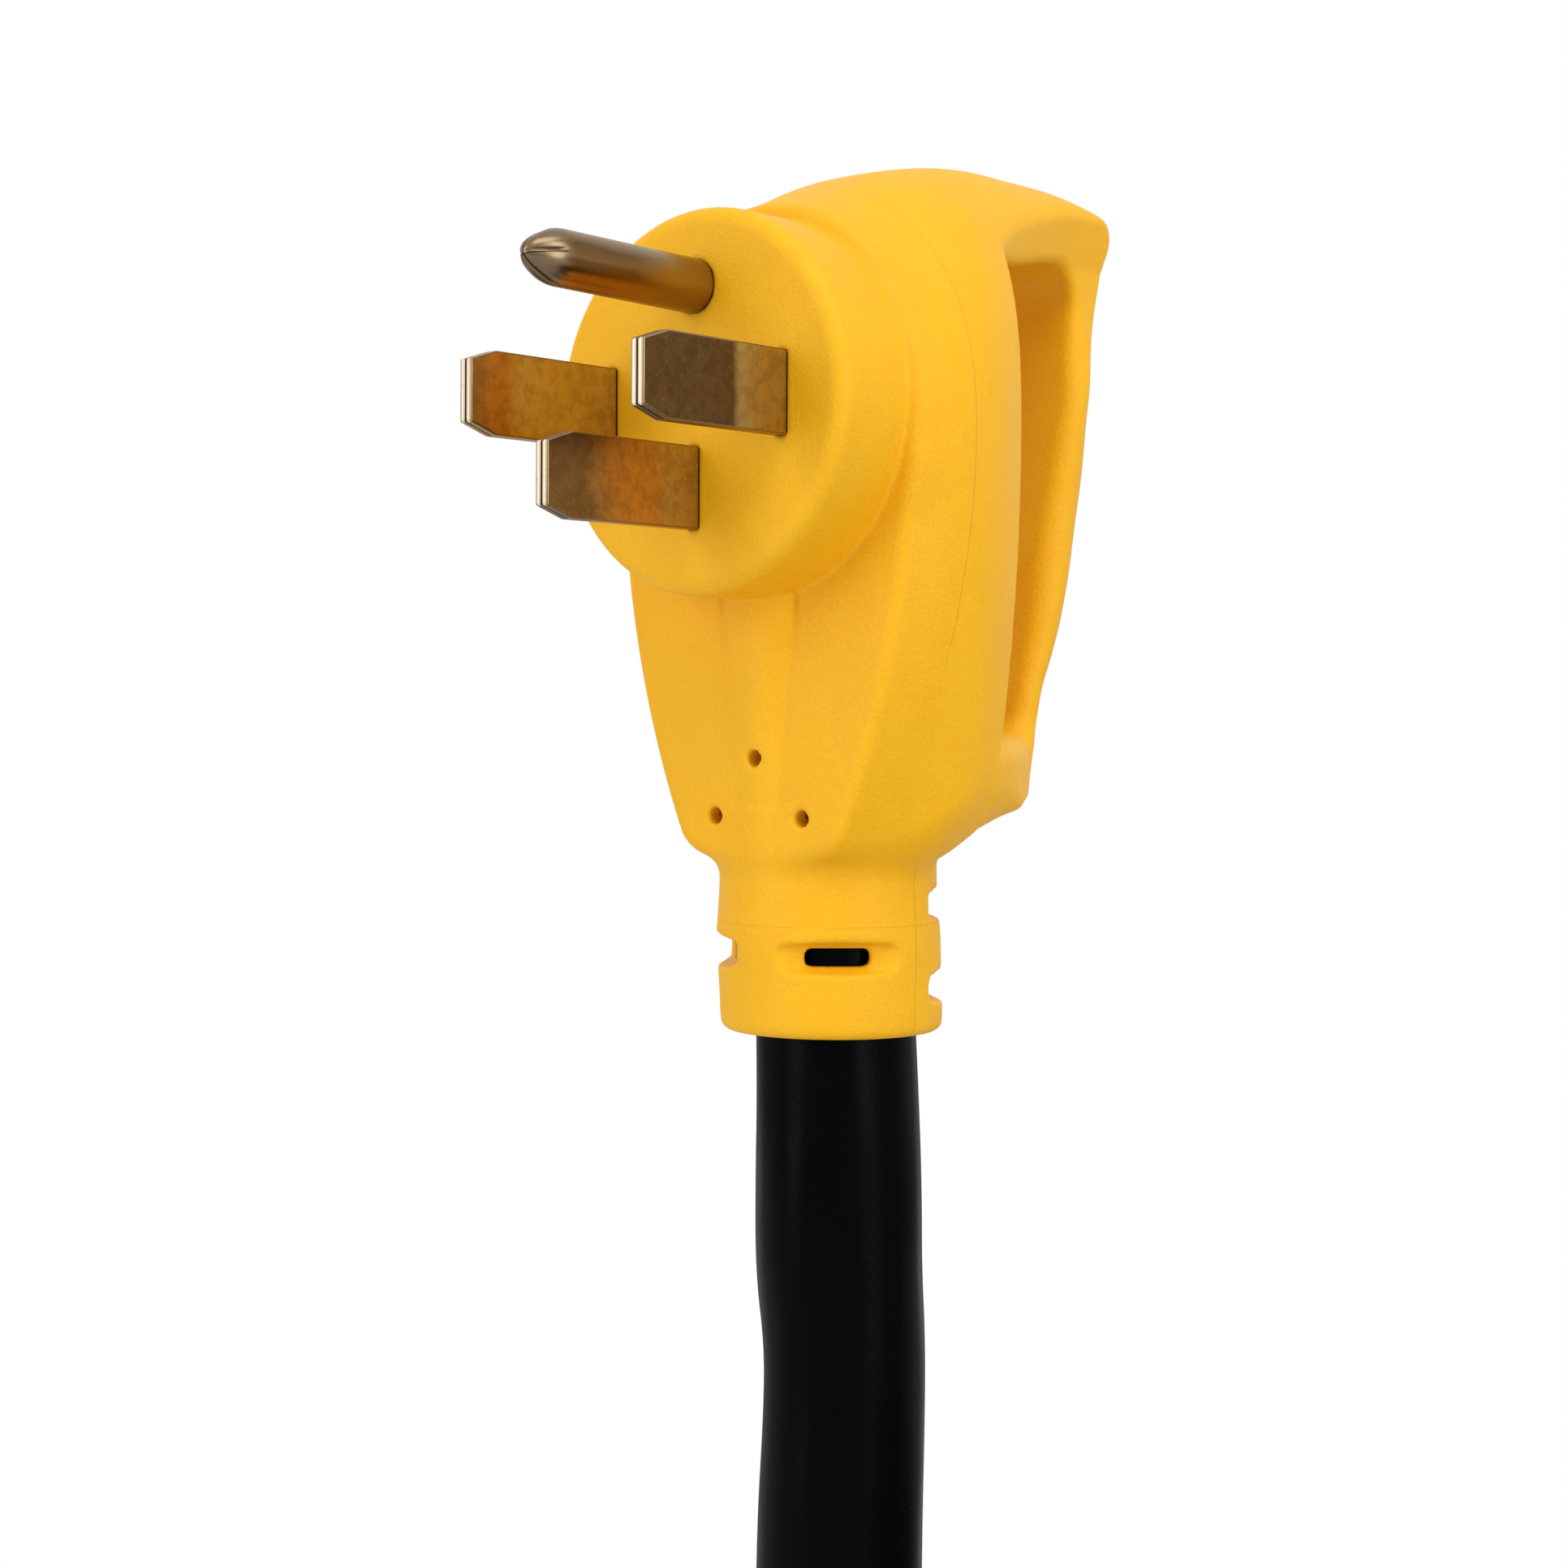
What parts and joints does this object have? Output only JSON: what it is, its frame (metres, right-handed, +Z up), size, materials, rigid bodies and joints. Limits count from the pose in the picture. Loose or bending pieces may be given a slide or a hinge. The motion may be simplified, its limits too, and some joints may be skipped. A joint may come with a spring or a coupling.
{
  "type": "shore power cord",
  "caption": "Heavy shore power cord with a straight-blade plug, finger-loop handle, coiled round cable and a locking connector with a turning threaded ring.",
  "frame": {"origin": "centre of the plug's flat contact face, where it seats against the outlet", "axes": "-Y along the blades into the outlet, +Z up through the ground pin (the cord leaves along -Z), +X to the right seen from the contact side's back"},
  "size_m": [0.4591, 0.4483, 0.3857],
  "materials": {
    "yellow_cover": "satin moulded yellow elastomer with a fine grain",
    "collar": "satin moulded yellow elastomer",
    "carrier": "dark glass-filled nylon",
    "brass_bright": "plated brass, weathered",
    "brass_dull": "plated brass, tarnished brown",
    "steel_pin": "tinned brass, grey",
    "copper": "bare copper strands",
    "jacket": "black satin jacket",
    "wire_black": "black insulation",
    "wire_red": "red insulation",
    "wire_white": "white insulation",
    "wire_green": "green insulation",
    "moulding": "hard inner moulding",
    "yellow_connector": "satin moulded yellow",
    "connector_insert": "black thermoset",
    "ring": "black nylon",
    "seal": "soft black rubber",
    "spring_steel": "bright spring wire"
  },
  "bodies": {
    "cord": {"blade_neutral": "brass_dull", "blade_x": "brass_dull", "blade_y": "brass_bright", "connector_body": "yellow_connector", "connector_cord_end": "jacket", "connector_core": "moulding", "connector_face": "connector_insert", "connector_strain_relief": "yellow_connector", "contact_carrier": "carrier", "cord_coil": "jacket", "cord_drop": "jacket", "cord_entry": "jacket", "cord_tail": "jacket", "crimp_ground": "brass_bright", "crimp_neutral": "brass_bright", "crimp_x": "brass_bright", "crimp_y": "brass_bright", "face_seal": "seal", "ground_pin": "steel_pin", "plug_body": "yellow_cover", "plug_core": "moulding", "plug_strain_relief": "collar", "ring_clip": "spring_steel", "socket_ground": "brass_bright", "socket_neutral": "brass_bright", "socket_x": "brass_bright", "socket_y": "brass_bright", "strands_ground": "copper", "strands_neutral": "copper", "strands_x": "copper", "strands_y": "copper", "tail_wire_ground": "wire_green", "tail_wire_neutral": "wire_white", "tail_wire_x": "wire_black", "tail_wire_y": "wire_red", "wire_ground": "wire_green", "wire_neutral": "wire_white", "wire_x": "wire_black", "wire_y": "wire_red"},
    "coupling_ring": {"lock_ring": "ring"}
  },
  "joints": [
    {"name": "ring_turn", "type": "hinge", "parent": "cord", "child": "coupling_ring", "pos_m": [0.38478, 0.32105, -0.2528], "axis": [0, 1, 0], "continuous": true}
  ]
}
